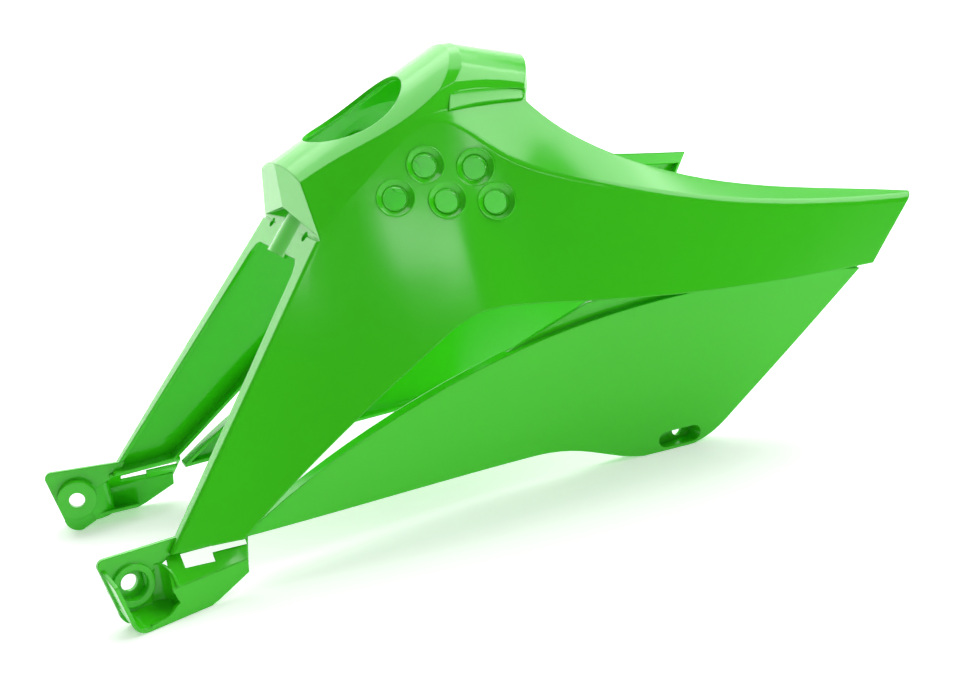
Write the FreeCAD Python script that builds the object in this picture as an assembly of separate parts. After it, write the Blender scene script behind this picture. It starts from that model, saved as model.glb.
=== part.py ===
import FreeCAD, Part
import math
import os

V = FreeCAD.Vector

# Frame: X runs rearward, Y to the machine's right, Z up. The origin is on the
# symmetry plane at the floor, midway along the part. Lengths are in millimetres.

WALL = 2.6                  # moulded wall of every panel
RIM_DEPTH = 9.0             # how far the edges of the lower blade turn inward
BLADE_RIM_DEPTH = 12.0      # how far the lower edges of the upper wing turn inward
GAP_RIM_DEPTH = 8.0         # how far the inner edges behind the hump turn down
RIM_WALL = 2.2              # wall of the turned edges
FLOOR = -25.0               # height the loft sections are carried down to
FAR = 400.0                 # reach of the trimming tools past the part
CENTRE_SHIFT = -0.2         # moves the finished part so that its length is centred on the origin

# Top of the bridge: a crowned facet that climbs rearward, then a hump that falls.
FACET_HEIGHT = 249.9        # facet height on the centre line at x = 0
FACET_SLOPE = 0.42
FACET_CROWN = 85.0          # crown radius across the facet
HUMP_HEIGHT = 265.6         # hump height on the centre line at x = 0
HUMP_SLOPE = -0.323
HUMP_CROWN = 46.0
HUMP_REAR = 66.8            # rear edge of the hump on the centre line
CREST_DROP = 0.9            # flat taken off the crest between the facet and the hump
CREST_CROWN = 55.0          # crown radius of that flat, between the two surfaces it joins
GROOVE_DROP = 3.5           # from the hump's crown down to the groove along its side
GROOVE_WIDTH = 3.0
GROOVE_STATIONS = (5.0, 28.0, 52.0)
GROOVE_DEPTH = 1.2
SHOULDER_RADIUS = 6.0       # fillet along the shoulder crease of each wing
LEADING_RADIUS = 2.0        # fillet along the leading edge of each wing

# Front of the bridge: a shallow prow over a panel that leans with the flanges.
PROW_X = -95.0              # centre crease of the prow
PROW_CORNER_X = -92.0       # prow corners, where the side facets start
LEAN_TOP = (-93.8, 171.6)   # top of the leading edge of a wing, x and z
LEAN_FOOT = (-215.0, 31.2)  # bottom of the leading edge of a wing

# Filler opening through the facet.
FILLER_X = -43.6
FILLER_RADIUS = 33.5

# Row of dished holes in each wing.
DISH_HOLE_RADIUS = 6.6
DISH_RIM_RADIUS = 10.6
DISH_DEPTH = 2.4
DISH_CENTRES = ((-25.1, 199.8), (2.0, 193.4), (-46.6, 186.0), (-19.0, 179.3), (8.1, 173.4))

# Side-view corners of the front blade and the upper blade, x and z.
BLADE_FOOT_REAR = (-175.4, 28.6)
BLADE_BULGE = (-105.0, 74.2)
BLADE_KNEE = (-45.6, 108.3)
BLADE_TURN = (5.0, 116.5)
BLADE_SAG = (106.0, 101.6)
BLADE_TAIL = (220.7, 93.9)
BLADE_TIP = (259.6, 136.0)

# Plan view of the gap between the wings behind the hump, x and half width.
GAP_START = (49.0, 40.0)
GAP_POINTS = ((62.0, 56.0), (104.0, 80.5), (190.0, 105.0))
GAP_END = (262.0, 127.0)

# Lower blade: station, half width at the floor, half width gained per millimetre up.
LOWER_STATIONS = (
    (-190.0, 69.5, 0.07),
    (-93.0, 70.2, 0.146),
    (-30.0, 70.3, 0.17),
    (22.0, 73.2, 0.18),
    (75.0, 82.5, 0.165),
    (128.0, 91.5, 0.18),
    (215.0, 108.5, 0.15),
    (240.0, 113.0, 0.15),
)
WEB_STEP = 4.5              # step inward from the lower blade to the joining web

# Side-view corners of the lower blade, x and z.
LOWER_NOSE = (-171.0, 27.0)
LOWER_TOP = ((-150.0, 38.8), (-65.0, 73.0), (-2.0, 89.0), (75.0, 99.0))
LOWER_TAIL = (215.2, 91.2)
LOWER_BELLY = (5.0, 18.9)
LOWER_LOBE = (75.0, 104.0)  # flat under the lobe, from x to x
LOWER_HEEL = (127.5, 11.0)

# Oval pocket near the lobe, with a screw hole through its floor.
POCKET_X = 98.0
POCKET_Z = 7.4
POCKET_LENGTH = 27.0
POCKET_HEIGHT = 10.5
POCKET_DEPTH = 9.0
POCKET_HOLE_RADIUS = 3.3

# Front opening and the panel above it, in front view.
OPEN_TOP_HALF = 39.0
OPEN_TOP_Z = 160.5
OPEN_CORNER = 6.0
BELOW_FOOT = 50.0           # how far the opening's cutting tool runs past its foot
OPEN_FOOT_HALF = 71.4
OPEN_FOOT_Z = 37.7
LIP_CENTRE_Z = 184.5
LIP_CORNER_Z = 173.0
RIB_HALF = 9.0
RIB_DIP = 1.6               # how far the rib hangs below the panel's edge
PANEL_SCREW_Y = 30.0
PANEL_SCREW_Z = 171.0
PANEL_SCREW_RADIUS = 3.0

# Front mounting bosses, toed in toward the rear.
TOE = 10.2                  # degrees
BOSS_X = -237.5
BOSS_Z = 21.5
BOSS_RADIUS = 12.0
BOSS_HOLE_RADIUS = 4.8
BOSS_REACH = 5.0            # how far the boss stands in past the plate
BOSS_FLOOR = 3.0            # floor of the boss that the screw passes through
PLATE_X = -253.5            # front edge of the bracket plate
PLATE_Y = 82.0              # outer face of the plate at that edge
CUP_WIDTH = 16.0            # from the plate to the outer wall of the cup
CUP_DROP = 6.0              # fall of the cup's floor from the plate outward


# Cross-section stations of the bridge and upper wings. Each row gives the
# station, the shoulder crease (half width, height), the half width gained by
# the panel per millimetre down, the ridge line at the foot of the side facet
# (half width, height) and the half width that facet loses per millimetre up.
STATIONS = (
    (-262.0, 69.0, 66.0, 0.16, 64.6, 76.0, 0.44),
    (-215.0, 65.8, 97.0, 0.20, 61.4, 107.0, 0.44),
    (-145.0, 53.6, 143.0, 0.306, 49.2, 153.0, 0.44),
    (-94.0, 49.4, 174.0, 0.39, 44.8, 184.0, 0.46),
    (-49.0, 49.5, 205.0, 0.395, 44.5, 214.0, 0.56),
    (-8.0, 50.0, 221.0, 0.40, 46.0, 226.0, 0.34),
    (18.0, 65.5, 198.5, 0.33, 43.0, 224.5, 0.30),
    (55.0, 84.0, 177.5, 0.25, 39.5, 221.0, 0.30),
    (120.0, 104.0, 154.0, 0.19, 56.0, 188.0, 0.30),
    (215.0, 122.0, 133.0, 0.14, 84.0, 154.0, 0.30),
    (276.0, 131.5, 126.0, 0.11, 98.0, 144.0, 0.30),
)
FACET_RISE = 38.0           # how far a section runs up past its ridge line


def inset_points(points, amount):
    """Half-section corners moved inward, each edge by the same amount."""
    lines = []
    for a, b in zip(points[:-1], points[1:]):
        dy = b[0] - a[0]
        dz = b[1] - a[1]
        length = math.hypot(dy, dz)
        shift = (-dz / length * amount, dy / length * amount)
        lines.append((a[0] + shift[0], a[1] + shift[1], dy, dz))
    moved = [(lines[0][0], lines[0][1])]
    for first, second in zip(lines[:-1], lines[1:]):
        cross = first[2] * second[3] - first[3] * second[2]
        along = (second[0] - first[0]) * second[3] - (second[1] - first[1]) * second[2]
        t = along / cross
        moved.append((first[0] + first[2] * t, first[1] + first[3] * t))
    last = lines[-1]
    moved.append((last[0] + last[2], last[1] + last[3]))
    return moved


def half_section(row, amount):
    """Corners of one side of a station, from the floor up, moved in by amount."""
    x, shoulder_w, shoulder_z, lean, ridge_w, ridge_z, facet_lean = row
    foot = (shoulder_w + lean * (shoulder_z - FLOOR), FLOOR)
    top = (ridge_w - facet_lean * FACET_RISE, ridge_z + FACET_RISE)
    points = [foot, (shoulder_w, shoulder_z), (ridge_w, ridge_z), top]
    if amount > 0:
        points = inset_points(points, amount)
    return points


def mirrored_corners(row, amount):
    side = half_section(row, amount)
    right = [V(row[0], y, z) for y, z in side]
    left = [V(row[0], -y, z) for y, z in reversed(side)]
    return right + left


def lengthwise_solid(sections):
    """Solid whose corner lines run smoothly from section to section."""
    lines = []
    for corner in zip(*sections):
        curve = Part.BSplineCurve()
        curve.interpolate(list(corner))
        lines.append(curve.toShape())
    faces = []
    for index, line in enumerate(lines):
        faces.append(Part.makeRuledSurface(line, lines[(index + 1) % len(lines)]))
    for section in (sections[0], sections[-1]):
        faces.append(Part.Face(Part.makePolygon(section + [section[0]])))
    shell = Part.makeShell(faces)
    shell.sewShape()
    return Part.Solid(shell)


def crown_tool(height, slope, radius, reach, start, end, drop):
    """Solid above a crowned surface that runs along X at the given slope."""
    z = height + slope * start - drop
    low = z - radius + math.sqrt(radius ** 2 - reach ** 2)
    right = V(start, reach, low)
    left = V(start, -reach, low)
    arc = Part.Arc(left, V(start, 0, z), right).toShape()
    lid = Part.makePolygon([right, V(start, reach, FAR), V(start, -reach, FAR), left])
    face = Part.Face(Part.Wire([arc] + lid.Edges))
    return face.extrude(V(end - start, 0, slope * (end - start)))


def shoulder_edges(body):
    """Crease lines of both shoulders, which start at the first station's corners."""
    x, half_width, height = STATIONS[0][:3]
    starts = [V(x, half_width, height), V(x, -half_width, height)]
    edges = []
    for edge in body.Edges:
        ends = [vertex.Point for vertex in edge.Vertexes]
        at_corner = any((end - start).Length < 0.01 for end in ends for start in starts)
        if at_corner and edge.Length > FAR:
            edges.append(edge)
    return edges


def form(amount):
    """Closed tunnel shape of the bridge and wings, moved in by amount."""
    body = lengthwise_solid([mirrored_corners(row, amount) for row in STATIONS])
    facet_drop = amount / math.cos(math.atan(FACET_SLOPE))
    hump_drop = amount / math.cos(math.atan(HUMP_SLOPE))
    facet = crown_tool(FACET_HEIGHT, FACET_SLOPE, FACET_CROWN, 47.0, -300.0, 40.0, facet_drop)
    hump = crown_tool(HUMP_HEIGHT, HUMP_SLOPE, HUMP_CROWN - amount, 43.5 - amount,
                      -60.0, 90.0, hump_drop)
    crest_slope = (FACET_SLOPE + HUMP_SLOPE) / 2
    crest_x = (HUMP_HEIGHT - FACET_HEIGHT) / (FACET_SLOPE - HUMP_SLOPE)
    crest_height = FACET_HEIGHT + FACET_SLOPE * crest_x - crest_slope * crest_x
    crest = crown_tool(crest_height, crest_slope, CREST_CROWN - amount, 43.5 - amount,
                       -60.0, 90.0, amount + CREST_DROP)
    body = body.cut(facet).cut(hump).cut(crest).Solids[0]
    if amount == 0:
        body = body.makeFillet(SHOULDER_RADIUS, shoulder_edges(body))
    return body


def side_facet(x):
    """Half width, height and lean of the side facet's ridge line at a station."""
    for before, after in zip(STATIONS[:-1], STATIONS[1:]):
        if before[0] <= x <= after[0]:
            share = (x - before[0]) / (after[0] - before[0])
            return [before[i] + share * (after[i] - before[i]) for i in (4, 5, 6)]


def groove():
    """Shallow channel along the right side of the hump, a little below its crown."""
    sections = []
    for x in GROOVE_STATIONS:
        half_width, base, lean = side_facet(x)
        crown_y = half_width - GROOVE_WIDTH
        sag = HUMP_CROWN - math.sqrt(HUMP_CROWN ** 2 - crown_y ** 2)
        top = HUMP_HEIGHT + HUMP_SLOPE * x - sag - GROOVE_DROP
        low = top - GROOVE_WIDTH
        inner_top = half_width - lean * (top - base) - GROOVE_DEPTH
        inner_low = half_width - lean * (low - base) - GROOVE_DEPTH
        sections.append([V(x, inner_low, low), V(x, inner_low + 4.0, low),
                         V(x, inner_top + 4.0, top), V(x, inner_top, top)])
    return lengthwise_solid(sections)


def line(a, b):
    return Part.LineSegment(a, b).toShape()


def smooth(points):
    """Smooth edge through a few points."""
    curve = Part.BSplineCurve()
    curve.interpolate(points)
    return curve.toShape()


def side(x, z):
    return V(x, 0, z)


def across(wire, low, high):
    """Side-view outline carried across the part from low to high in Y."""
    face = Part.Face(wire)
    face.translate(V(0, low, 0))
    return face.extrude(V(0, high - low, 0))


def lean_x(z):
    """Rearward position of the leading plane of the wings at a height."""
    run = (LEAN_TOP[0] - LEAN_FOOT[0]) / (LEAN_TOP[1] - LEAN_FOOT[1])
    return LEAN_TOP[0] + (z - LEAN_TOP[1]) * run


def bend(points):
    """Smooth edge that leaves and arrives along its end legs."""
    curve = Part.BezierCurve()
    curve.setPoles(points)
    return curve.toShape()


def blade_edges():
    """Lower edges of the front and upper blades, from the foot to the tip."""
    foot_rear = side(*BLADE_FOOT_REAR)
    knee = side(*BLADE_KNEE)
    turn = side(*BLADE_TURN)
    tail = side(*BLADE_TAIL)
    rear_edge = Part.Arc(foot_rear, side(*BLADE_BULGE), knee).toShape()
    corner = bend([knee, side(-27.0, 119.0), side(-18.0, 120.5), turn])
    lower_edge = Part.Arc(turn, side(*BLADE_SAG), tail).toShape()
    foot = line(side(*LEAN_FOOT), foot_rear)
    return [foot, rear_edge, corner, lower_edge, line(tail, side(*BLADE_TIP))]


def wing_wire():
    """Side-view outline of the bridge, front blade and upper blade."""
    front_high = side(PROW_X - 5, FAR)
    front_low = side(PROW_X - 5, LEAN_TOP[1])
    tip = side(*BLADE_TIP)
    tip_high = side(BLADE_TIP[0], FAR)
    lean_top = side(*LEAN_TOP)
    edges = [line(front_high, front_low), line(front_low, lean_top)]
    edges += [line(lean_top, side(*LEAN_FOOT))] + blade_edges()
    edges += [line(tip, tip_high), line(tip_high, front_high)]
    return Part.Wire(edges)


def normal_at(edge, parameter):
    """Direction to the left of a side-view edge."""
    tangent = edge.tangentAt(parameter).normalize()
    return V(-tangent.z, 0, tangent.x)


def beside(edge, amount, start, end):
    """Edge of the side view moved to the left, between two given end points."""
    if edge.Curve.TypeId.endswith("Line"):
        return line(start, end)
    moved = []
    for point in edge.discretize(Number=9):
        moved.append(point + normal_at(edge, edge.Curve.parameter(point)) * amount)
    return smooth([start] + moved[1:-1] + [end])


def moved_joints(edges, amount):
    """Chain corners moved to the left by an amount, mitred between the edges."""
    first = edges[0]
    last = edges[-1]
    joints = [first.valueAt(first.FirstParameter) + normal_at(first, first.FirstParameter) * amount]
    for before, after in zip(edges[:-1], edges[1:]):
        a = normal_at(before, before.LastParameter)
        b = normal_at(after, after.FirstParameter)
        corner = after.valueAt(after.FirstParameter)
        joints.append(corner + (a + b) * (amount / (1 + a.dot(b))))
    joints.append(last.valueAt(last.LastParameter) + normal_at(last, last.LastParameter) * amount)
    return joints


def ribbons(edges, amount):
    """Side-view strips along a chain of edges, each carried across the part."""
    overlap = -1.0 if amount > 0 else 1.0
    outer = moved_joints(edges, overlap)
    inner = moved_joints(edges, amount)
    strips = []
    for index, edge in enumerate(edges):
        outside = beside(edge, overlap, outer[index], outer[index + 1])
        inside = beside(edge, amount, inner[index], inner[index + 1])
        face = Part.makeRuledSurface(outside, inside)
        face.translate(V(0, -200, 0))
        strips.append(face.extrude(V(0, 400, 0)))
    return strips


def lower_edges():
    """Edges of the lower blade: the top, the tail cut and the underside."""
    nose = side(*LOWER_NOSE)
    tail = side(*LOWER_TAIL)
    heel = side(*LOWER_HEEL)
    lobe_front = side(LOWER_LOBE[0], 0.0)
    lobe_rear = side(LOWER_LOBE[1], 0.0)
    belly = side(*LOWER_BELLY)
    nose_low = side(LOWER_NOSE[0], LOWER_NOSE[1] - 2.0)
    top = smooth([nose] + [side(x, z) for x, z in LOWER_TOP] + [tail])
    cut = line(tail, heel)
    heel_bend = bend([heel, side(116.0, 0.8), lobe_rear])
    flat = line(lobe_rear, lobe_front)
    lobe_bend = bend([lobe_front, side(52.0, 3.0), side(40.0, 18.0), belly])
    under = line(belly, nose_low)
    return [top], [cut, heel_bend, flat, lobe_bend, under], line(nose_low, nose)


def lower_slab(front, depth, floor, ceiling):
    """Right-hand slab behind the lower blade's surface."""
    sections = []
    for x, foot_w, lean in LOWER_STATIONS:
        outer_low = foot_w + lean * floor - front
        outer_high = foot_w + lean * ceiling - front
        sections.append([V(x, outer_low, floor), V(x, outer_high, ceiling),
                         V(x, outer_high - depth, ceiling), V(x, outer_low - depth, floor)])
    return lengthwise_solid(sections)


def lower_blade():
    """Right lower blade with turned edges and the web that joins it above."""
    top, under, nose = lower_edges()
    outline = across(Part.Wire(top + under + [nose]), 0, 200)
    skin = lower_slab(0.0, WALL, -20.0, 130.0).common(outline)
    core = lower_slab(0.0, RIM_DEPTH, -20.0, 130.0).common(outline)
    rims = [core.common(strip) for strip in ribbons(top + under, -RIM_WALL)]
    web_top = [side(46.0, 107.0), side(80.0, 108.0), side(222.0, 97.5)]
    web_low = [side(215.0, 88.5), side(75.0, 96.0), side(-2.0, 86.0), side(-6.0, 88.0)]
    corners = web_low + web_top
    web_outline = across(Part.makePolygon(corners + [corners[0]]), 0, 200)
    web = lower_slab(WEB_STEP, WALL, -20.0, 130.0).common(web_outline)
    return skin.fuse(rims + [web])


def slot_prism(x, z, length, height, low, high):
    """Rounded slot in side view, carried from low to high in Y."""
    r = height / 2
    half = length / 2 - r
    left_arc = Part.Arc(V(x - half, low, z + r), V(x - half - r, low, z), V(x - half, low, z - r))
    right_arc = Part.Arc(V(x + half, low, z - r), V(x + half + r, low, z), V(x + half, low, z + r))
    lower = line(V(x - half, low, z - r), V(x + half, low, z - r))
    upper = line(V(x + half, low, z + r), V(x - half, low, z + r))
    wire = Part.Wire([left_arc.toShape(), lower, right_arc.toShape(), upper])
    return Part.Face(wire).extrude(V(0, high - low, 0))


def pocket_solids():
    """Wall block and hollow of the oval pocket in the right lower blade."""
    outer_w = 86.5
    floor_w = outer_w - POCKET_DEPTH
    block = slot_prism(POCKET_X, POCKET_Z, POCKET_LENGTH + 2 * RIM_WALL,
                       POCKET_HEIGHT + 2 * RIM_WALL, floor_w - WALL, outer_w + 6)
    hollow = slot_prism(POCKET_X, POCKET_Z, POCKET_LENGTH, POCKET_HEIGHT, floor_w, outer_w + 20)
    hole = Part.makeCylinder(POCKET_HOLE_RADIUS, 60, V(POCKET_X + 4, floor_w - 30, POCKET_Z),
                             V(0, 1, 0))
    block = block.common(lower_slab(0.3, 30.0, -20.0, 130.0))
    return block, hollow, hole


def on_surface(outer, x, z):
    """Point of the outer surface straight out from a side-view position."""
    probe = line(V(x, 0, z), V(x, 200, z)).common(outer)
    return V(x, max(v.Point.y for v in probe.Vertexes), z)


def dish_tools(outer):
    """Inner bulges and cutting tools of the dished holes in the right wing."""
    bulges = []
    cuts = []
    for x, z in DISH_CENTRES:
        centre = on_surface(outer, x, z)
        ahead = on_surface(outer, x + 2, z) - on_surface(outer, x - 2, z)
        above = on_surface(outer, x, z + 2) - on_surface(outer, x, z - 2)
        normal = above.cross(ahead).normalize()
        if normal.y < 0:
            normal = normal * -1
        back = centre - normal * (WALL + DISH_DEPTH)
        bulges.append(Part.makeCylinder(DISH_RIM_RADIUS + 1.0, WALL + DISH_DEPTH - 0.6, back, normal))
        floor = centre - normal * DISH_DEPTH
        slope = (DISH_RIM_RADIUS - DISH_HOLE_RADIUS - 0.9) / DISH_DEPTH
        rise = 6.0
        cuts.append(Part.makeCone(DISH_HOLE_RADIUS + 0.9, DISH_HOLE_RADIUS + 0.9 + slope * rise,
                                  rise, floor, normal))
        cuts.append(Part.makeCylinder(DISH_HOLE_RADIUS, 40.0, centre - normal * 20, normal))
    return bulges, cuts


def gap_rim(half, gap):
    """Edge turned down along the hump's rear edge and the wings' inner edges."""
    lowered = half.copy()
    lowered.translate(V(0, 0, -GAP_RIM_DEPTH))
    crust = half.cut(lowered)
    thick = gap.makeOffsetShape(RIM_WALL, 0.01)
    return crust.common(thick).cut(gap)


def bracket():
    """Right front bracket before it is toed in: plate, boss, cup, outer wall."""
    y0 = PLATE_Y - WALL
    y1 = PLATE_Y
    y2 = PLATE_Y + CUP_WIDTH
    x0 = PLATE_X
    r = 4.0
    top_left = Part.Arc(V(x0, y0, 41.0 - r), V(x0 + r * 0.29, y0, 41.0 - r * 0.29),
                        V(x0 + r, y0, 41.0)).toShape()
    low_left = side(x0 + 5.5, 9.0)
    bottom = side(x0 + 15.0, 0.0)

    def at(point, y):
        return V(point.x, y, point.z)
    outline = [top_left, line(V(x0 + r, y0, 41.0), V(x0 + 49, y0, 37.5)),
               line(V(x0 + 49, y0, 37.5), V(x0 + 45, y0, 31.0)),
               line(V(x0 + 45, y0, 31.0), V(x0 + 27, y0, 24.0)),
               line(V(x0 + 27, y0, 24.0), V(x0 + 24, y0, 4.0)),
               line(V(x0 + 24, y0, 4.0), at(bottom, y0)),
               Part.Arc(at(bottom, y0), V(x0 + 8.0, y0, 2.6), at(low_left, y0)).toShape(),
               line(at(low_left, y0), V(x0, y0, 41.0 - r))]
    plate = Part.Face(Part.Wire(outline)).extrude(V(0, WALL, 0))
    chain = [line(side(x0 + 1.2, 30.0), low_left),
             Part.Arc(low_left, side(x0 + 8.0, 2.6), bottom).toShape(),
             line(bottom, side(x0 + 51.0, 0.0))]
    strips = []
    inner = moved_joints(chain, RIM_WALL)
    for index, edge in enumerate(chain):
        inside = beside(edge, RIM_WALL, inner[index], inner[index + 1])
        strip = Part.makeRuledSurface(edge, inside)
        strip.translate(V(0, y0, CUP_DROP))
        strips.append(strip.extrude(V(0, y2 - y0, -CUP_DROP)))
    wall_points = [(31.0, 17.5), (76.0, 17.5), (75.0, 10.0), (55.0, 1.5), (50.0, 0.0),
                   (15.0, 0.0), (16.0, 3.0), (26.0, 4.0), (33.5, 9.0)]
    corners = [V(x0 + dx, y2 - WALL, z) for dx, z in wall_points]
    wall = Part.Face(Part.makePolygon(corners + [corners[0]])).extrude(V(0, WALL, 0))
    return [plate, wall] + strips


def boss_solids():
    """Solid and hollows of the screw boss before it is toed in."""
    x = BOSS_X
    inner_end = PLATE_Y - WALL - BOSS_REACH
    body = Part.makeCylinder(BOSS_RADIUS, BOSS_REACH + WALL + 2.0, V(x, inner_end, BOSS_Z), V(0, 1, 0))
    recess = Part.makeCylinder(BOSS_RADIUS - 3.6, 40.0, V(x, inner_end + BOSS_FLOOR, BOSS_Z), V(0, 1, 0))
    hole = Part.makeCylinder(BOSS_HOLE_RADIUS, 60.0, V(x, inner_end - 30, BOSS_Z), V(0, 1, 0))
    return body, recess, hole


def toed(shape):
    """Shape turned so that the bracket closes in toward the rear."""
    turned = shape.copy()
    turned.rotate(V(PLATE_X, PLATE_Y, 0), V(0, 0, 1), -TOE)
    return turned


def ledge():
    """Sloping ledge from the foot of the right blade to the bracket's outer wall."""
    far_y = PLATE_Y + CUP_WIDTH - 0.3
    turned = [toed(Part.Vertex(V(PLATE_X + dx, far_y, 17.5))).Point for dx in (31.0, 76.0)]
    inner_front = V(-216.5, 71.5, 32.0)
    inner_rear = V(-171.0, 74.5, 29.5)
    down = V(0, 0, -RIM_WALL)
    sections = []
    for inner, out in ((inner_front, turned[0]), (inner_rear, turned[1])):
        sections.append([inner, out, out + down, inner + down])
    return lengthwise_solid(sections)


def ledge_slot():
    """Slot through the ledge, wide at the front and narrow behind."""
    points = [(-209.5, 74.0), (-209.5, 83.0), (-193.0, 83.0), (-193.0, 79.0),
              (-173.5, 79.0), (-173.5, 75.5), (-193.0, 74.5)]
    corners = [V(x, y, 5.0) for x, y in points]
    return Part.Face(Part.makePolygon(corners + [corners[0]])).extrude(V(0, 0, 25.5))


def mirrored(shape):
    return shape.mirror(V(0, 0, 0), V(0, 1, 0))


def rear_gap():
    """Space between the wings behind the hump, seen from above."""
    start = V(GAP_START[0], GAP_START[1], FLOOR - 10)
    end = V(GAP_END[0], GAP_END[1], FLOOR - 10)
    middle = [V(x, y, FLOOR - 10) for x, y in GAP_POINTS]
    right = smooth([start] + middle + [end])
    left = smooth([V(p.x, -p.y, p.z) for p in [end] + middle[::-1] + [start]])
    crest = Part.Arc(V(start.x, -start.y, start.z), V(HUMP_REAR, 0, start.z), start).toShape()
    rear_right = V(FAR, GAP_END[1], start.z)
    rear_left = V(FAR, -GAP_END[1], start.z)
    tail = [line(end, rear_right), line(rear_right, rear_left), line(rear_left, V(end.x, -end.y, end.z))]
    face = Part.Face(Part.Wire([crest, right] + tail + [left]))
    return face.extrude(V(0, 0, 2 * FAR))


def prow_cut():
    """Two wedges that give the front of the bridge its shallow prow."""
    low = LEAN_TOP[1] - 0.5
    centre = V(PROW_X, 0, low)
    right = V(PROW_CORNER_X, 55, low)
    left = V(PROW_CORNER_X, -55, low)
    out_right = V(PROW_X - 20, 55, low)
    out_left = V(PROW_X - 20, -55, low)
    wire = Part.makePolygon([centre, right, out_right, out_left, left, centre])
    return Part.Face(wire).extrude(V(0, 0, FAR))


def lean_slab(front, depth):
    """Slab along the leading plane, starting a distance behind it."""
    low = 31.2
    high = 210.0
    shift = front / math.cos(math.atan2(LEAN_TOP[0] - LEAN_FOOT[0], LEAN_TOP[1] - LEAN_FOOT[1]))
    thick = depth / math.cos(math.atan2(LEAN_TOP[0] - LEAN_FOOT[0], LEAN_TOP[1] - LEAN_FOOT[1]))
    a = lean_x(low) + shift
    b = lean_x(high) + shift
    wire = Part.makePolygon([side(a, low), side(b, high), side(b + thick, high),
                             side(a + thick, low), side(a, low)])
    return across(wire, -200, 200)


def front_view(points, start, end):
    corners = [V(start, y, z) for y, z in points]
    return Part.Face(Part.makePolygon(corners + [corners[0]])).extrude(V(end - start, 0, 0))


def front_opening():
    """Opening between the two flanges, with rounded upper corners and a dip at the rib."""
    r = OPEN_CORNER
    run = (OPEN_FOOT_HALF - OPEN_TOP_HALF) / (OPEN_TOP_Z - OPEN_FOOT_Z)
    foot_z = OPEN_FOOT_Z - BELOW_FOOT
    foot_half = OPEN_FOOT_HALF + BELOW_FOOT * run
    half = [(foot_half, foot_z), (OPEN_TOP_HALF + r * run, OPEN_TOP_Z - r),
            (OPEN_TOP_HALF - r * 0.3, OPEN_TOP_Z - r * 0.3), (OPEN_TOP_HALF - r, OPEN_TOP_Z),
            (RIB_HALF + 1.0, OPEN_TOP_Z), (RIB_HALF, OPEN_TOP_Z - RIB_DIP)]
    return front_view(half + [(-y, z) for y, z in reversed(half)], -300.0, 0.0)


def lip_edge(y):
    return LIP_CENTRE_Z + (LIP_CORNER_Z - LIP_CENTRE_Z) * abs(y) / 49.0


def bridge_front(outer):
    """Prow wall, the web under its lip, the front panel and the flanges."""
    reach = 60.0
    above_lip = front_view([(-reach, lip_edge(reach)), (0, lip_edge(0)), (reach, lip_edge(reach)),
                            (reach, FAR), (-reach, FAR)], -120.0, 0.0)
    low = LEAN_TOP[1] - 20
    points = [V(PROW_X, 0, low), V(PROW_CORNER_X, 55, low), V(PROW_CORNER_X + WALL, 55, low),
              V(PROW_X + WALL, 0, low), V(PROW_CORNER_X + WALL, -55, low),
              V(PROW_CORNER_X, -55, low), V(PROW_X, 0, low)]
    wall = Part.Face(Part.makePolygon(points)).extrude(V(0, 0, FAR))
    prow = outer.common(wall).common(above_lip)
    web_section = front_view([(-reach, lip_edge(reach)), (0, lip_edge(0)), (reach, lip_edge(reach)),
                              (reach, lip_edge(reach) + RIM_WALL), (0, lip_edge(0) + RIM_WALL),
                              (-reach, lip_edge(reach) + RIM_WALL)], PROW_X + 1, -70.0)
    behind = lean_slab(-60.0, 60.0 + WALL)
    web = outer.common(web_section).common(behind)
    below_lip = front_view([(-90, FLOOR), (90, FLOOR), (90, lip_edge(90) + RIM_WALL - 0.1),
                            (0, lip_edge(0) + RIM_WALL - 0.1),
                            (-90, lip_edge(90) + RIM_WALL - 0.1)], -300.0, 0.0)
    slab = outer.common(lean_slab(0.0, WALL)).common(below_lip)
    slab = slab.cut(front_opening())
    rib = outer.common(lean_slab(-1.4, 2.0)).common(
        front_view([(-RIB_HALF, OPEN_TOP_Z - RIB_DIP), (RIB_HALF, OPEN_TOP_Z - RIB_DIP),
                    (RIB_HALF, LIP_CENTRE_Z), (-RIB_HALF, LIP_CENTRE_Z)], -200.0, 0.0))
    rib = rib.cut(front_opening())
    return prow, web, slab, rib


def filler_tool():
    """Cylinder square to the facet that opens the filler hole."""
    angle = math.atan(FACET_SLOPE)
    up = V(-math.sin(angle), 0, math.cos(angle))
    centre = V(FILLER_X, 0, FACET_HEIGHT + FACET_SLOPE * FILLER_X)
    return Part.makeCylinder(FILLER_RADIUS, 45.0, centre - up * 30.0, up)


def panel_screw_tool():
    """Cylinder square to the front panel for its right screw hole."""
    angle = math.atan2(LEAN_TOP[0] - LEAN_FOOT[0], LEAN_TOP[1] - LEAN_FOOT[1])
    inward = V(math.cos(angle), 0, -math.sin(angle))
    centre = V(lean_x(PANEL_SCREW_Z), PANEL_SCREW_Y, PANEL_SCREW_Z)
    return Part.makeCylinder(PANEL_SCREW_RADIUS, 14.0, centre - inward * 7.0, inward)


def leading_edges(solid):
    """Outer edges of a trimmed half that lie along the leading plane."""
    edges = []
    for edge in solid.Edges:
        ends = [vertex.Point for vertex in edge.Vertexes]
        on_plane = all(abs(end.x - lean_x(end.z)) < 0.05 for end in ends)
        if on_plane and edge.Length > 20 and min(end.y for end in ends) > 40:
            edges.append(edge)
    return edges


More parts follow.
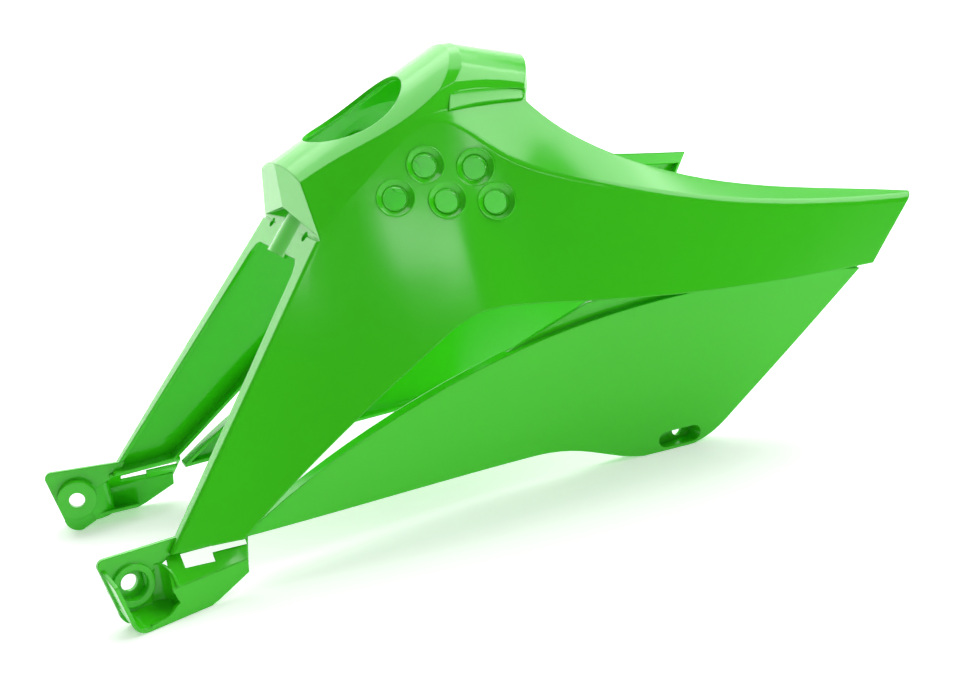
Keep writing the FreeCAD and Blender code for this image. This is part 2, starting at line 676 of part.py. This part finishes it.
def right_half(outer):
    """Everything on the right of the symmetry plane, before the openings are cut."""
    half_space = Part.makeBox(2 * FAR, FAR, FAR + 22.0, V(-FAR, 0, -22.0))
    half = outer.common(half_space)
    outline = across(wing_wire(), -200, 200)
    gap = rear_gap()
    trimmed = half.common(outline).cut(gap).cut(prow_cut()).Solids[0]
    trimmed = trimmed.makeFillet(LEADING_RADIUS, leading_edges(trimmed))
    skin = trimmed.cut(form(WALL))
    crust = trimmed.cut(form(BLADE_RIM_DEPTH))
    rims = [crust.common(strip) for strip in ribbons(blade_edges(), RIM_WALL)]
    inner_rim = gap_rim(half, gap).common(outline)
    pieces = rims + [inner_rim] + list(bridge_front(trimmed)) + [lower_blade()]
    block, hollow, hole = pocket_solids()
    pieces.append(block)
    bulges, dish_cuts = dish_tools(outer)
    pieces += bulges
    boss, recess, boss_hole = boss_solids()
    pieces += [toed(shape) for shape in bracket() + [boss]]
    pieces.append(ledge())
    body = skin.fuse(pieces)
    cuts = dish_cuts + [hollow, hole, toed(recess), toed(boss_hole), ledge_slot()]
    cuts += [filler_tool(), panel_screw_tool(), groove()]
    return body.cut(cuts)


def main():
    os.makedirs("parts", exist_ok=True)
    outer = form(0.0)
    right = right_half(outer)
    whole = right.fuse(mirrored(right))
    print("solids", len(whole.Solids), "valid", whole.isValid(), "volume", round(whole.Volume),
          "faces", len(whole.Faces))
    solid = whole.Solids[0]
    solid.translate(V(CENTRE_SHIFT, 0, 0))
    solid.exportStep("parts/shroud.step")


if __name__ == "__main__":
    main()
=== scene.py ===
"""Looks and studio setup for a moulded dirt bike radiator shroud."""

import math

import bmesh
import bpy
from mathutils import Matrix, Vector


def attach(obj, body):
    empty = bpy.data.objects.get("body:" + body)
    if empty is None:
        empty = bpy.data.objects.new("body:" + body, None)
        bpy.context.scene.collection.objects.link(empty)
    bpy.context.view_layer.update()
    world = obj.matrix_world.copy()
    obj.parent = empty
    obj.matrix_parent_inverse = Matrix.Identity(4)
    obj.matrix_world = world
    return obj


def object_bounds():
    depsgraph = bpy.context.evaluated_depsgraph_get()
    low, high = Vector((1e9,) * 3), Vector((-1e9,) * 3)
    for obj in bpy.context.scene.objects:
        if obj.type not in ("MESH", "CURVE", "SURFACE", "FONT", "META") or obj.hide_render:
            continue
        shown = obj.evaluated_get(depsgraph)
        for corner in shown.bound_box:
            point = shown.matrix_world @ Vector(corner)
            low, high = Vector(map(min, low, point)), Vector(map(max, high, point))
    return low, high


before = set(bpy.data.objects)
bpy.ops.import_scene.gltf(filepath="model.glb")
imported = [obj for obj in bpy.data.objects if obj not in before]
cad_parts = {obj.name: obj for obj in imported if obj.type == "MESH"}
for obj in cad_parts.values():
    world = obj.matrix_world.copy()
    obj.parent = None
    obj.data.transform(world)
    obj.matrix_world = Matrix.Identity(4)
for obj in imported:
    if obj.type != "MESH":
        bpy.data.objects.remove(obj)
CAD_LOW, CAD_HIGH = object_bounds()
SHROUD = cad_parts["shroud"]

bl_info = {
    "name": "Radiator Shroud Finish",
    "version": (1, 0, 0),
    "blender": (4, 5, 0),
    "location": "View3D > Sidebar > Shroud",
    "description": "Finishes a moulded radiator shroud and sets it in a plain studio",
    "category": "Object",
}

# Photograph's camera, in metres, with X rearward along the part and Z up.
CAMERA_PLACE = Vector((-0.3337, -0.8308, 0.3478))
CAMERA_FORWARD = Vector((0.3687, 0.8826, -0.2916))
CAMERA_UP = Vector((0.2567, 0.2048, 0.9445))
CAMERA_LENS = 56.37
CAMERA_SENSOR = 36.0

# Places of the soft lights and their width and height, in metres.
KEY_PLACE = Vector((0.6, 1.5, 2.5))
KEY_AIM = Vector((0.6, 1.5, 0.0))
KEY_SIZE = (3.6, 2.6)
SIDE_PLACE = Vector((1.41, -0.66, 1.69))
SIDE_SIZE = (1.9, 0.95)
STRIP_PLACE = Vector((-0.04, -1.35, 0.89))
STRIP_SIZE = (0.5, 0.11)

# Floor and backdrop of the studio, in metres.
FLOOR_HALF = 30.0
FLOOR_GAP = 0.0002
BACKDROP_PLACE = 2.8
BACKDROP_HALF = 8.0
BACKDROP_HEIGHT = 4.0
BACKDROP_GLOW = 0.9

# Scale and detail of the plastic's noises, and how strongly they show.
PLASTIC_NAME = "green_plastic"
FLOW_NOISE = (7.0, 4.0)
FLOW_STRETCH = (1.0, 1.0, 2.2)
HANDLING_NOISE = (38.0, 5.0)
RIPPLE_NOISE = (420.0, 2.0)
RIPPLE_STRENGTH = 0.35
ROUGHNESS_SPREAD = 0.05
BEVEL_SAMPLES = 6
PLASTIC_IOR = 1.5
EDGE_ANGLE = math.radians(40.0)

# How far off the moulding's faces are felt from, and how far beside a feature.
FEEL_FROM = 0.4
RIB_BESIDE = 0.004
RIB_FOOT_INSET = 0.003
RIB_TOP_INSET = 0.006
DISH_BESIDE = 0.004
RIM_BESIDE = 0.0012
HOLE_BESIDE = 0.0004
DISH_FEEL_FROM = 0.03

# How deep the added forms are seated in the moulding.
RIB_SEAT = 0.0001
RIB_ROOT = 0.0022
SHELF_ROOT = 0.0015

# Steps along and across the added forms.
RIB_ROWS = 6
RIB_HALF_COLUMNS = 10
SHELF_STEPS = 8
WEB_ROWS = 16
RING_STEPS = 48
RING_SIDES = 8

# Side-view centres of the dished holes, x and z in metres.
DISH_CENTRES = (
    (-0.0253, 0.1998),
    (0.0018, 0.1934),
    (-0.0468, 0.1860),
    (-0.0192, 0.1793),
    (0.0079, 0.1734),
)

# Upper and lower edge of the shelf along the hump's foot, front to rear, in metres.
SHELF_TOP = (
    (0.0020, 0.0424, 0.2343),
    (0.0089, 0.0414, 0.2346),
    (0.0189, 0.0401, 0.2337),
    (0.0289, 0.0389, 0.2322),
    (0.0386, 0.0381, 0.2300),
    (0.0485, 0.0372, 0.2271),
    (0.0502, 0.0371, 0.2264),
)
SHELF_EDGE = (
    (-0.0022, 0.0474, 0.2260),
    (0.0052, 0.0464, 0.2262),
    (0.0154, 0.0448, 0.2260),
    (0.0256, 0.0435, 0.2251),
    (0.0357, 0.0424, 0.2239),
    (0.0455, 0.0418, 0.2226),
    (0.0478, 0.0414, 0.2223),
)
SHOULDER_NORMAL = Vector((0.1, 0.74, 0.66)).normalized()

# Curved web inside each front bracket, from above: its two ends and the bend between.
WEB_INNER_END = Vector((-0.2312, 0.0766, 0.0))
WEB_BEND = Vector((-0.2165, 0.0745, 0.0))
WEB_OUTER_END = Vector((-0.2180, 0.0914, 0.0))
WEB_FOOT = 0.0045
WEB_TOP = 0.0285
WEB_FALL = 0.67


class ShroudFinish(bpy.types.PropertyGroup):
    """Colour and surface of the moulded plastic."""

    colour: bpy.props.FloatVectorProperty(
        name="Plastic colour",
        description="Base colour of the coloured plastic",
        subtype="COLOR",
        size=3,
        min=0.0,
        max=1.0,
        default=(0.050, 0.66, 0.008),
    )
    shade: bpy.props.FloatVectorProperty(
        name="Flow colour",
        description="Slightly deeper colour where the plastic flowed in the mould",
        subtype="COLOR",
        size=3,
        min=0.0,
        max=1.0,
        default=(0.046, 0.61, 0.007),
    )
    roughness: bpy.props.FloatProperty(
        name="Roughness",
        description="Roughness of the moulded surface",
        min=0.0,
        max=1.0,
        default=0.14,
    )
    edge_radius: bpy.props.FloatProperty(
        name="Edge radius",
        description="Radius that the moulded edges appear to have",
        subtype="DISTANCE",
        unit="LENGTH",
        min=0.0,
        max=0.004,
        default=0.0011,
    )
    peel: bpy.props.FloatProperty(
        name="Surface ripple",
        description="Height of the very fine ripple of the moulded surface",
        subtype="DISTANCE",
        unit="LENGTH",
        min=0.0,
        max=0.001,
        default=0.00002,
    )


class ShroudDishes(bpy.types.PropertyGroup):
    """Sizes of the rounded lips round the dished holes."""

    radius: bpy.props.FloatProperty(
        name="Lip radius",
        description="Radius of the lip's centre line",
        subtype="DISTANCE",
        unit="LENGTH",
        min=0.005,
        max=0.02,
        default=0.0107,
    )
    hole: bpy.props.FloatProperty(
        name="Hole lip radius",
        description="Radius of the centre line of the lip round the hole",
        subtype="DISTANCE",
        unit="LENGTH",
        min=0.003,
        max=0.015,
        default=0.0069,
    )
    thickness: bpy.props.FloatProperty(
        name="Lip thickness",
        description="Radius of the lip's round section",
        subtype="DISTANCE",
        unit="LENGTH",
        min=0.0001,
        max=0.002,
        default=0.00055,
    )


class ShroudRib(bpy.types.PropertyGroup):
    """Sizes of the rounded rib down the middle of the front panel."""

    half_width: bpy.props.FloatProperty(
        name="Rib half width",
        description="Half of the rib's width",
        subtype="DISTANCE",
        unit="LENGTH",
        min=0.005,
        max=0.03,
        default=0.0160,
    )
    height: bpy.props.FloatProperty(
        name="Rib height",
        description="How far the rib stands out from the panel",
        subtype="DISTANCE",
        unit="LENGTH",
        min=0.0005,
        max=0.006,
        default=0.0040,
    )
    low: bpy.props.FloatProperty(
        name="Rib foot",
        description="Height of the rib's lower end",
        subtype="DISTANCE",
        unit="LENGTH",
        default=0.1588,
    )
    high: bpy.props.FloatProperty(
        name="Rib top",
        description="Height of the rib's upper end, under the lip",
        subtype="DISTANCE",
        unit="LENGTH",
        default=0.1835,
    )


class ShroudShelf(bpy.types.PropertyGroup):
    """Sizes of the hollow shelf along the foot of the hump."""

    hollow: bpy.props.FloatProperty(
        name="Shelf hollow",
        description="How far the shelf's face is hollowed between its two edges",
        subtype="DISTANCE",
        unit="LENGTH",
        min=0.0,
        max=0.002,
        default=0.0004,
    )
    depth: bpy.props.FloatProperty(
        name="Shelf depth",
        description="How far the shelf reaches into the moulding below its edge",
        subtype="DISTANCE",
        unit="LENGTH",
        min=0.001,
        max=0.004,
        default=0.0030,
    )


class ShroudWeb(bpy.types.PropertyGroup):
    """Sizes of the curved web inside each front bracket."""

    wall: bpy.props.FloatProperty(
        name="Web wall",
        description="Thickness of the web",
        subtype="DISTANCE",
        unit="LENGTH",
        min=0.0005,
        max=0.004,
        default=0.0018,
    )


class ShroudStudio(bpy.types.PropertyGroup):
    """Light and floor of the plain studio."""

    floor_colour: bpy.props.FloatVectorProperty(
        name="Floor colour",
        description="Colour of the plain floor",
        subtype="COLOR",
        size=3,
        min=0.0,
        max=1.0,
        default=(0.9, 0.9, 0.9),
    )
    sky: bpy.props.FloatProperty(
        name="Room light",
        description="Strength of the even light from all round",
        min=0.0,
        max=10.0,
        default=0.14,
    )
    key: bpy.props.FloatProperty(
        name="Key light",
        description="Power of the large soft light above the part",
        subtype="POWER",
        unit="POWER",
        min=0.0,
        max=500.0,
        default=75.0,
    )
    side: bpy.props.FloatProperty(
        name="Side light",
        description="Power of the softbox beside the part, which lights its shoulder",
        subtype="POWER",
        unit="POWER",
        min=0.0,
        max=500.0,
        default=25.0,
    )
    glow: bpy.props.FloatProperty(
        name="Floor glow",
        description="How much light the white floor gives by itself",
        min=0.0,
        max=2.0,
        default=0.35,
    )
    fill: bpy.props.FloatProperty(
        name="Strip light",
        description="Power of the strip light beside the part",
        subtype="POWER",
        unit="POWER",
        min=0.0,
        max=500.0,
        default=0.9,
    )


class Shade:
    """A value in a shader tree, so that shader maths reads like maths."""

    def __init__(self, tree, socket):
        self.tree = tree
        self.socket = socket

    def maths(self, operation, other):
        node = self.tree.nodes.new("ShaderNodeMath")
        node.operation = operation
        self.tree.links.new(self.socket, node.inputs[0])
        if isinstance(other, Shade):
            self.tree.links.new(other.socket, node.inputs[1])
        else:
            node.inputs[1].default_value = other
        return Shade(self.tree, node.outputs[0])

    def __add__(self, other):
        return self.maths("ADD", other)

    def __mul__(self, other):
        return self.maths("MULTIPLY", other)

    def to(self, socket):
        self.tree.links.new(self.socket, socket)


class Finish:
    """A new material with one shader, and a short way to add nodes to it."""

    def __init__(self, name):
        self.material = bpy.data.materials.new(name)
        self.material.use_nodes = True
        self.tree = self.material.node_tree
        self.shader = self.tree.nodes["Principled BSDF"]
        self.place = self.node("ShaderNodeTexCoord").outputs["Object"]

    def node(self, kind, inputs=None, **settings):
        made = self.tree.nodes.new(kind)
        for name, value in settings.items():
            setattr(made, name, value)
        for name, value in (inputs or {}).items():
            if isinstance(value, bpy.types.NodeSocket):
                self.tree.links.new(value, made.inputs[name])
            else:
                made.inputs[name].default_value = value
        return made

    def noise(self, grain, stretch=(1.0, 1.0, 1.0)):
        """Even noise over the piece, from 0 to 1, of a scale and detail."""
        scale, detail = grain
        mapping = self.node("ShaderNodeMapping", {"Vector": self.place, "Scale": stretch})
        made = self.node(
            "ShaderNodeTexNoise",
            {"Vector": mapping.outputs["Vector"], "Scale": scale, "Detail": detail},
        )
        return Shade(self.tree, made.outputs["Fac"])


def plastic_material(finish):
    """Glossy coloured plastic with faint flow marks and softly rounded edges."""
    made = Finish(PLASTIC_NAME)
    flow = made.noise(FLOW_NOISE, FLOW_STRETCH)
    colour = made.node("ShaderNodeMix", data_type="RGBA")
    colour.inputs["A"].default_value = (*finish.colour, 1.0)
    colour.inputs["B"].default_value = (*finish.shade, 1.0)
    flow.to(colour.inputs["Factor"])
    made.tree.links.new(colour.outputs["Result"], made.shader.inputs["Base Color"])
    handling = made.noise(HANDLING_NOISE)
    evenly = finish.roughness - ROUGHNESS_SPREAD
    roughness = flow * ROUGHNESS_SPREAD + handling * ROUGHNESS_SPREAD + evenly
    roughness.to(made.shader.inputs["Roughness"])
    soft = made.node("ShaderNodeBevel", {"Radius": finish.edge_radius}, samples=BEVEL_SAMPLES)
    ripple = made.noise(RIPPLE_NOISE)
    bump = made.node(
        "ShaderNodeBump",
        {
            "Normal": soft.outputs["Normal"],
            "Strength": RIPPLE_STRENGTH,
            "Distance": finish.peel,
        },
    )
    ripple.to(bump.inputs["Height"])
    made.tree.links.new(bump.outputs["Normal"], made.shader.inputs["Normal"])
    made.shader.inputs["IOR"].default_value = PLASTIC_IOR
    return made.material


def plastic(scene):
    """The moulding's plastic, made once and shared by its pieces."""
    made = bpy.data.materials.get(PLASTIC_NAME)
    if made is None:
        made = plastic_material(scene.shroud_finish)
    return made


def carried(name, mesh, scene):
    """Object for a mesh that is part of the moulding."""
    piece = bpy.data.objects.new(name, mesh)
    scene.collection.objects.link(piece)
    if not mesh.materials:
        mesh.materials.append(plastic(scene))
    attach(piece, "root")


def loft(name, loops):
    """Closed mesh through a row of closed outlines, with flat ends."""
    count = len(loops[0])
    corners = [corner for loop in loops for corner in loop]
    faces = []
    for row in range(len(loops) - 1):
        near = row * count
        far = near + count
        for index in range(count):
            after = (index + 1) % count
            faces.append((near + index, near + after, far + after, far + index))
    faces.append(tuple(range(count)))
    faces.append(tuple(range((len(loops) - 1) * count, len(loops) * count)))
    mesh = bpy.data.meshes.new(name)
    mesh.from_pydata(corners, [], faces)
    sides = bmesh.new()
    sides.from_mesh(mesh)
    bmesh.ops.recalc_face_normals(sides, faces=sides.faces)
    sides.to_mesh(mesh)
    sides.free()
    mesh.shade_smooth()
    mesh.set_sharp_from_angle(angle=EDGE_ANGLE)
    return mesh


def panel_x(y, z):
    """Rearward position of the front panel at a height, felt from the front."""
    start = Vector((-FEEL_FROM, y, z))
    hit, place, _, _ = SHROUD.ray_cast(start, Vector((1.0, 0.0, 0.0)))
    if not hit:
        raise RuntimeError("nothing was felt at the front panel")
    return place.x


def outer_place(x, z, hand):
    """Point of the wing's outer face at a side-view place, felt from outside."""
    start = Vector((x, hand * FEEL_FROM, z))
    hit, place, _, _ = SHROUD.ray_cast(start, Vector((0.0, -hand, 0.0)))
    if not hit:
        raise RuntimeError("nothing was felt at the wing")
    return place


class SHROUD_OT_moulding(bpy.types.Operator):
    """Give the one-piece moulding its plastic finish"""

    bl_idname = "shroud.moulding"
    bl_label = "Finish Moulding"

    def execute(self, context):
        SHROUD.data.materials.clear()
        SHROUD.data.materials.append(plastic(context.scene))
        return {"FINISHED"}


class SHROUD_OT_front_rib(bpy.types.Operator):
    """Make the rounded rib down the middle of the front panel"""

    bl_idname = "shroud.front_rib"
    bl_label = "Make Front Rib"

    def execute(self, context):
        rib = context.scene.shroud_rib
        beside = rib.half_width + RIB_BESIDE
        foot_level = rib.low + RIB_FOOT_INSET
        top_level = rib.high - RIB_TOP_INSET
        foot = Vector((panel_x(beside, foot_level), 0.0, foot_level))
        top = Vector((panel_x(beside, top_level), 0.0, top_level))
        along = (top - foot).normalized()
        out = Vector((-along.z, 0.0, along.x))
        start = foot - along * (RIB_FOOT_INSET / along.z)
        length = (rib.high - rib.low) / along.z
        loops = []
        for row in range(RIB_ROWS + 1):
            middle = start + along * (length * row / RIB_ROWS)
            loop = []
            for column in range(2 * RIB_HALF_COLUMNS + 1):
                share = column / RIB_HALF_COLUMNS - 1.0
                height = rib.height * (0.5 + 0.5 * math.cos(math.pi * share)) - RIB_SEAT
                across = Vector((0.0, share * rib.half_width, 0.0))
                loop.append(middle + across + out * height)
            for share in (1.0, -1.0):
                across = Vector((0.0, share * rib.half_width, 0.0))
                loop.append(middle + across - out * RIB_ROOT)
            loops.append(loop)
        carried("front_rib", loft("front_rib", loops), context.scene)
        return {"FINISHED"}


class SHROUD_OT_hump_shelf(bpy.types.Operator):
    """Make the hollow shelf along the foot of the hump, on both sides"""

    bl_idname = "shroud.hump_shelf"
    bl_label = "Make Hump Shelf"

    def execute(self, context):
        shelf = context.scene.shroud_shelf
        for hand, name in ((-1.0, "hump_shelf_left"), (1.0, "hump_shelf_right")):
            loops = []
            for high, edge in zip(SHELF_TOP, SHELF_EDGE):
                high = Vector(high)
                edge = Vector(edge)
                across = (edge - high).normalized()
                face = Vector((0.0, -across.z, across.y)).normalized()
                loop = []
                for step in range(SHELF_STEPS + 1):
                    share = step / SHELF_STEPS
                    sag = shelf.hollow * 4.0 * share * (1.0 - share)
                    loop.append(high.lerp(edge, share) - face * sag)
                loop.append(edge - SHOULDER_NORMAL * shelf.depth)
                loop.append(high - Vector((0.0, SHELF_ROOT, 0.0)))
                loops.append([Vector((c.x, hand * c.y, c.z)) for c in loop])
            carried(name, loft(name, loops), context.scene)
        return {"FINISHED"}


class SHROUD_OT_bracket_webs(bpy.types.Operator):
    """Make the curved web that closes the pocket of each front bracket"""

    bl_idname = "shroud.bracket_webs"
    bl_label = "Make Bracket Webs"

    def execute(self, context):
        wall = context.scene.shroud_web.wall
        for hand, name in ((-1.0, "bracket_web_left"), (1.0, "bracket_web_right")):
            loops = []
            for row in range(WEB_ROWS + 1):
                share = row / WEB_ROWS
                first = WEB_INNER_END.lerp(WEB_BEND, share)
                second = WEB_BEND.lerp(WEB_OUTER_END, share)
                place = first.lerp(second, share)
                run = (second - first).normalized()
                back = Vector((-run.y, run.x, 0.0)) * -wall
                top = WEB_TOP - WEB_FALL * (place.y - WEB_INNER_END.y)
                low = Vector((0.0, 0.0, WEB_FOOT))
                high = Vector((0.0, 0.0, top))
                loop = [place + low, place + high, place + back + high, place + back + low]
                loops.append([Vector((c.x, hand * c.y, c.z)) for c in loop])
            carried(name, loft(name, loops), context.scene)
        return {"FINISHED"}


def link(tree, start, end):
    """Join two sockets of a geometry tree."""
    tree.links.new(start, end)


def ring_tree(material):
    """Geometry tree that sets a round-section ring on every point, square to its facing."""
    tree = bpy.data.node_groups.new("dish_lips", "GeometryNodeTree")
    face = tree.interface
    face.new_socket("Points", in_out="INPUT", socket_type="NodeSocketGeometry")
    face.new_socket("Radius", in_out="INPUT", socket_type="NodeSocketFloat")
    face.new_socket("Thickness", in_out="INPUT", socket_type="NodeSocketFloat")
    face.new_socket("Rings", in_out="OUTPUT", socket_type="NodeSocketGeometry")
    start = tree.nodes.new("NodeGroupInput")
    end = tree.nodes.new("NodeGroupOutput")
    circle = tree.nodes.new("GeometryNodeCurvePrimitiveCircle")
    circle.inputs["Resolution"].default_value = RING_STEPS
    section = tree.nodes.new("GeometryNodeCurvePrimitiveCircle")
    section.inputs["Resolution"].default_value = RING_SIDES
    sweep = tree.nodes.new("GeometryNodeCurveToMesh")
    facing = tree.nodes.new("GeometryNodeInputNamedAttribute")
    facing.data_type = "FLOAT_VECTOR"
    facing.inputs["Name"].default_value = "facing"
    turn = tree.nodes.new("FunctionNodeAlignRotationToVector")
    turn.axis = "Z"
    place = tree.nodes.new("GeometryNodeInstanceOnPoints")
    smooth = tree.nodes.new("GeometryNodeSetShadeSmooth")
    real = tree.nodes.new("GeometryNodeRealizeInstances")
    paint = tree.nodes.new("GeometryNodeSetMaterial")
    paint.inputs["Material"].default_value = material
    link(tree, start.outputs["Radius"], circle.inputs["Radius"])
    link(tree, start.outputs["Thickness"], section.inputs["Radius"])
    link(tree, circle.outputs["Curve"], sweep.inputs["Curve"])
    link(tree, section.outputs["Curve"], sweep.inputs["Profile Curve"])
    link(tree, facing.outputs["Attribute"], turn.inputs["Vector"])
    link(tree, start.outputs["Points"], place.inputs["Points"])
    link(tree, sweep.outputs["Mesh"], place.inputs["Instance"])
    link(tree, turn.outputs["Rotation"], place.inputs["Rotation"])
    link(tree, place.outputs["Instances"], smooth.inputs["Geometry"])
    link(tree, smooth.outputs["Geometry"], real.inputs["Geometry"])
    link(tree, real.outputs["Geometry"], paint.inputs["Geometry"])
    link(tree, paint.outputs["Geometry"], end.inputs["Rings"])
    return tree


def rings(name, places, facings, radius, thickness, scene):
    """Piece made of rings at the given places, each square to its facing."""
    points = bpy.data.meshes.new(name + "_points")
    points.from_pydata(places, [], [])
    facing = points.attributes.new("facing", "FLOAT_VECTOR", "POINT")
    facing.data.foreach_set("vector", [value for way in facings for value in way])
    holder = bpy.data.objects.new(name + "_points", points)
    scene.collection.objects.link(holder)
    tree = ring_tree(plastic(scene))
    modifier = holder.modifiers.new("rings", "NODES")
    modifier.node_group = tree
    sizes = {"Radius": radius, "Thickness": thickness}
    for item in tree.interface.items_tree:
        if item.name in sizes:
            modifier[item.identifier] = sizes[item.name]
    seen = holder.evaluated_get(bpy.context.evaluated_depsgraph_get())
    mesh = bpy.data.meshes.new_from_object(seen)
    mesh.name = name
    bpy.data.objects.remove(holder)
    carried(name, mesh, scene)


def seated(place, facing, radius):
    """Place moved along its facing to the mean level of the face round it."""
    first = facing.orthogonal().normalized()
    second = facing.cross(first)
    levels = []
    for side in (first, second, -first, -second):
        start = place + side * radius + facing * DISH_FEEL_FROM
        hit, felt, _, _ = SHROUD.ray_cast(start, -facing)
        if hit:
            levels.append((felt - place).dot(facing))
    if len(levels) < 2:
        raise RuntimeError("a dish has too little round it to seat a lip")
    return place + facing * (sum(levels) / len(levels))


class SHROUD_OT_dish_lips(bpy.types.Operator):
    """Make the rounded lips round the dished holes in both wings"""

    bl_idname = "shroud.dish_lips"
    bl_label = "Make Dish Lips"

    def execute(self, context):
        dishes = context.scene.shroud_dishes
        reach = dishes.radius + DISH_BESIDE
        for hand, side in ((-1.0, "left"), (1.0, "right")):
            rims = []
            holes = []
            facings = []
            for x, z in DISH_CENTRES:
                ahead = outer_place(x - reach, z, hand)
                behind = outer_place(x + reach, z, hand)
                above = outer_place(x, z + reach, hand)
                below = outer_place(x, z - reach, hand)
                facing = (behind - ahead).cross(above - below).normalized()
                if facing.y * hand < 0:
                    facing.negate()
                middle = (ahead + behind + above + below) / 4
                rims.append(seated(middle, facing, dishes.radius + RIM_BESIDE))
                holes.append(seated(middle, facing, dishes.hole + HOLE_BESIDE))
                facings.append(facing)
            thickness = dishes.thickness
            rings(f"dish_rims_{side}", rims, facings, dishes.radius, thickness, context.scene)
            rings(f"dish_holes_{side}", holes, facings, dishes.hole, thickness, context.scene)
        return {"FINISHED"}


def pale_material(colour, glow, name):
    """Plain pale surface that also glows a little, so that it stays white."""
    made = Finish(name)
    made.shader.inputs["Base Color"].default_value = (*colour, 1.0)
    made.shader.inputs["Emission Color"].default_value = (1.0, 1.0, 1.0, 1.0)
    made.shader.inputs["Emission Strength"].default_value = glow
    made.shader.inputs["Roughness"].default_value = 0.9
    made.shader.inputs["Specular IOR Level"].default_value = 0.1
    return made.material


def area_light(name, place, aim, size, power):
    """Soft rectangular light that faces a point."""
    light = bpy.data.lights.new(name, "AREA")
    light.shape = "RECTANGLE"
    light.size, light.size_y = size
    light.energy = power
    lamp = bpy.data.objects.new(name, light)
    lamp.location = place
    lamp.rotation_euler = (aim - place).to_track_quat("-Z", "Y").to_euler()
    bpy.context.scene.collection.objects.link(lamp)


def photo_camera():
    """Camera at the photograph's place, angle and lens."""
    data = bpy.data.cameras.new("photo_camera")
    data.lens = CAMERA_LENS
    data.sensor_width = CAMERA_SENSOR
    data.sensor_fit = "HORIZONTAL"
    data.clip_start = 0.01
    data.clip_end = 200.0
    camera = bpy.data.objects.new("photo_camera", data)
    forward = CAMERA_FORWARD.normalized()
    right = forward.cross(CAMERA_UP).normalized()
    up = right.cross(forward)
    turn = Matrix((right, up, -forward)).transposed()
    camera.matrix_world = Matrix.Translation(CAMERA_PLACE) @ turn.to_4x4()
    bpy.context.scene.collection.objects.link(camera)
    bpy.context.scene.camera = camera


def stage_plane(name, corners, material):
    """Flat sheet of the studio, which is no part of the object."""
    mesh = bpy.data.meshes.new(name)
    mesh.from_pydata(corners, [], [(0, 1, 2, 3)])
    mesh.materials.append(material)
    sheet = bpy.data.objects.new(name, mesh)
    bpy.context.scene.collection.objects.link(sheet)


def floor_and_backdrop(studio):
    """White floor just under the part and a white wall well behind it."""
    half = FLOOR_HALF
    level = CAD_LOW.z - FLOOR_GAP
    flat = [(-half, -half), (half, -half), (half, half), (-half, half)]
    floor_white = pale_material(studio.floor_colour, studio.glow, "studio_floor")
    stage_plane("floor", [(x, y, level) for x, y in flat], floor_white)
    span = BACKDROP_HALF
    rise = [(-span, level), (span, level), (span, BACKDROP_HEIGHT), (-span, BACKDROP_HEIGHT)]
    wall_white = pale_material(studio.floor_colour, BACKDROP_GLOW, "studio_backdrop")
    stage_plane("backdrop", [(x, BACKDROP_PLACE, z) for x, z in rise], wall_white)


def room_light(strength):
    """Even white light from all round."""
    world = bpy.data.worlds.new("studio")
    world.use_nodes = True
    background = world.node_tree.nodes["Background"]
    background.inputs["Color"].default_value = (1.0, 1.0, 1.0, 1.0)
    background.inputs["Strength"].default_value = strength
    bpy.context.scene.world = world


class SHROUD_OT_studio(bpy.types.Operator):
    """Set out the pale floor, the soft lights and the camera"""

    bl_idname = "shroud.studio"
    bl_label = "Set Out Studio"

    def execute(self, context):
        studio = context.scene.shroud_studio
        middle = (CAD_LOW + CAD_HIGH) / 2
        floor_and_backdrop(studio)
        room_light(studio.sky)
        context.scene.view_settings.view_transform = "Standard"
        area_light("key_light", KEY_PLACE, KEY_AIM, KEY_SIZE, studio.key)
        area_light("side_light", SIDE_PLACE, middle, SIDE_SIZE, studio.side)
        area_light("strip_light", STRIP_PLACE, middle, STRIP_SIZE, studio.fill)
        photo_camera()
        return {"FINISHED"}


class SHROUD_PT_panel(bpy.types.Panel):
    """Buttons and sizes for the shroud"""

    bl_label = "Radiator Shroud"
    bl_space_type = "VIEW_3D"
    bl_region_type = "UI"
    bl_category = "Shroud"

    def draw(self, context):
        for key in GROUPS:
            group = getattr(context.scene, key)
            box = self.layout.box()
            for name in type(group).__annotations__:
                box.prop(group, name)
        for operator in OPERATORS:
            self.layout.operator(operator.bl_idname)


OPERATORS = (
    SHROUD_OT_moulding,
    SHROUD_OT_front_rib,
    SHROUD_OT_hump_shelf,
    SHROUD_OT_bracket_webs,
    SHROUD_OT_dish_lips,
    SHROUD_OT_studio,
)
GROUPS = {
    "shroud_finish": ShroudFinish,
    "shroud_dishes": ShroudDishes,
    "shroud_rib": ShroudRib,
    "shroud_shelf": ShroudShelf,
    "shroud_web": ShroudWeb,
    "shroud_studio": ShroudStudio,
}


def register():
    for cls in (*GROUPS.values(), *OPERATORS, SHROUD_PT_panel):
        bpy.utils.register_class(cls)
    for name, cls in GROUPS.items():
        setattr(bpy.types.Scene, name, bpy.props.PointerProperty(type=cls))


def unregister():
    for name in GROUPS:
        delattr(bpy.types.Scene, name)
    for cls in (SHROUD_PT_panel, *OPERATORS, *GROUPS.values()):
        bpy.utils.unregister_class(cls)


def main():
    register()
    bpy.ops.shroud.moulding()
    bpy.ops.shroud.front_rib()
    bpy.ops.shroud.hump_shelf()
    bpy.ops.shroud.bracket_webs()
    bpy.ops.shroud.dish_lips()
    bpy.ops.shroud.studio()


if __name__ == "__main__":
    main()
